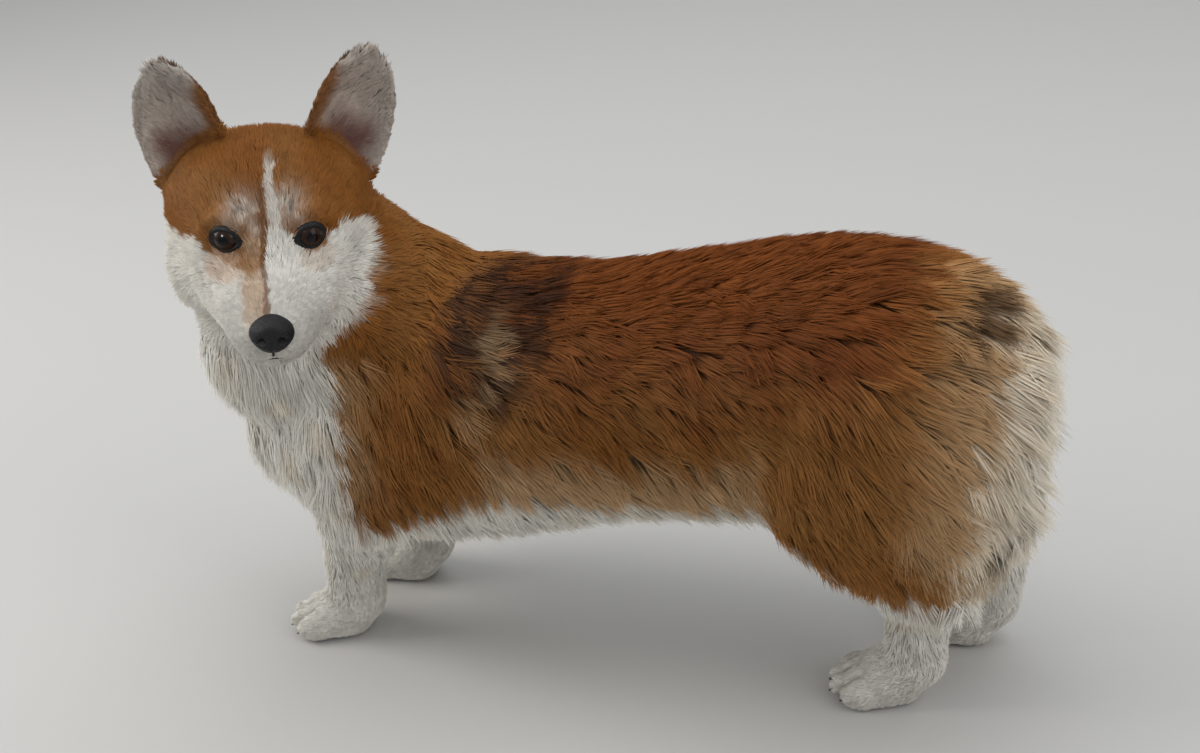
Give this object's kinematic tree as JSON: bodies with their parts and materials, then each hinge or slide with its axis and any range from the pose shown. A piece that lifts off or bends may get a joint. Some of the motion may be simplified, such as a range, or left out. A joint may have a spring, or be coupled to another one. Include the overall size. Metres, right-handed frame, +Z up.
{
  "type": "pembroke welsh corgi",
  "caption": "Life-size still model of a short-legged herding dog, standing on four feet with its head turned to look back.",
  "frame": {"origin": "on the floor, under the middle of the dog's bounding box", "axes": "the dog faces -Y, its left side is +X, and +Z is up; +Y runs from its breast to its rump"},
  "size_m": [0.2556, 0.5578, 0.4338],
  "materials": {
    "coat_fawn": "soft red-fawn fur with white and cream markings",
    "coat_white": "soft white fur",
    "ear": "thin skin with short fur",
    "eye": "wet dark brown",
    "nose": "moist black, finely pebbled",
    "claw": "smooth horn"
  },
  "bodies": {
    "root": {"head": "coat_fawn", "neck": "coat_fawn", "trunk": "coat_fawn", "tail": "coat_fawn", "hindleg_left": "coat_fawn", "hindleg_right": "coat_fawn", "foreleg_left": "coat_white", "foreleg_right": "coat_white", "forepaw_left": "coat_white", "forepaw_right": "coat_white", "hindpaw_left": "coat_white", "hindpaw_right": "coat_white", "ear_left": "ear", "ear_right": "ear", "eye_left": "eye", "eye_right": "eye", "nose": "nose", "claw_forepaw_left_1": "claw", "claw_forepaw_left_2": "claw", "claw_forepaw_left_3": "claw", "claw_forepaw_left_4": "claw", "claw_forepaw_right_1": "claw", "claw_forepaw_right_2": "claw", "claw_forepaw_right_3": "claw", "claw_forepaw_right_4": "claw", "claw_hindpaw_left_1": "claw", "claw_hindpaw_left_2": "claw", "claw_hindpaw_left_3": "claw", "claw_hindpaw_left_4": "claw", "claw_hindpaw_right_1": "claw", "claw_hindpaw_right_2": "claw", "claw_hindpaw_right_3": "claw", "claw_hindpaw_right_4": "claw"}
  },
  "joints": []
}
